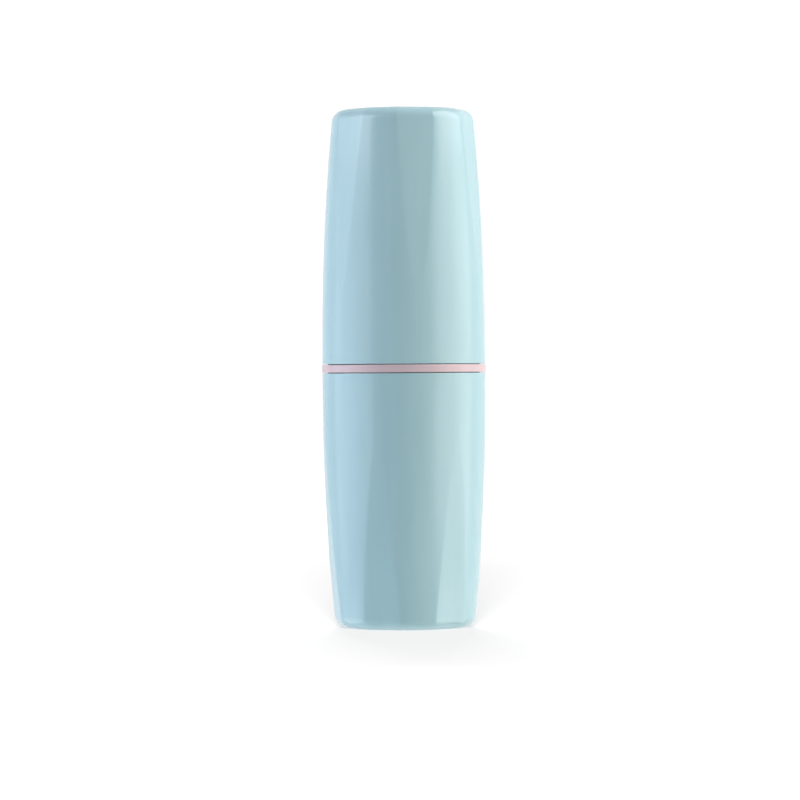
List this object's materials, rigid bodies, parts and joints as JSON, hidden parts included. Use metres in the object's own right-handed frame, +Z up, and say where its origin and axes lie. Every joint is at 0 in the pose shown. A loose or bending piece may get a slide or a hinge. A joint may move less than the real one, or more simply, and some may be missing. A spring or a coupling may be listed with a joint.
{
  "type": "travel toothbrush case",
  "caption": "Barrel-shaped travel toothbrush case: cups with flats in their sides push mouth to mouth onto a banded coupling sleeve with grip rings, around a lift-out brush rack.",
  "frame": {"origin": "centre of the lower cup's foot, on the surface that the case stands on", "axes": "+Z up along the case's axis towards the upper cup; -Y through the middle of one of the upper cup's flats, with the rack's brush holes on that side and its tube slot on the +Y side"},
  "size_m": [0.0636, 0.0636, 0.2],
  "materials": {
    "aqua_shell": "satin moulded polypropylene",
    "pink_sleeve": "satin moulded polypropylene",
    "grip_silicone": "soft moulded silicone",
    "milky_rack": "milky moulded polypropylene"
  },
  "bodies": {
    "lower_cup": {"lower_cup": "aqua_shell"},
    "lower_grip_ring": {"lower_grip_ring": "grip_silicone"},
    "coupling_sleeve": {"coupling_sleeve": "pink_sleeve"},
    "brush_rack": {"brush_rack": "milky_rack"},
    "upper_grip_ring": {"upper_grip_ring": "grip_silicone"},
    "upper_cup": {"upper_cup": "aqua_shell"}
  },
  "joints": [
    {"name": "sleeve_pull", "type": "slide", "parent": "lower_cup", "child": "lower_grip_ring", "axis": [0, 0, 1], "range_m": [0, 0.04]},
    {"name": "sleeve_twist", "type": "hinge", "parent": "lower_grip_ring", "child": "coupling_sleeve", "pos_m": [0, 0, 0.0895], "axis": [0, 0, 1], "continuous": true},
    {"name": "rack_lift", "type": "slide", "parent": "coupling_sleeve", "child": "brush_rack", "axis": [0, 0, 1], "range_m": [0, 0.04]},
    {"name": "upper_cup_twist", "type": "hinge", "parent": "coupling_sleeve", "child": "upper_grip_ring", "pos_m": [0, 0, 0.1105], "axis": [0, 0, 1], "continuous": true},
    {"name": "upper_cup_pull", "type": "slide", "parent": "upper_grip_ring", "child": "upper_cup", "axis": [0, 0, 1], "range_m": [0, 0.11]}
  ]
}
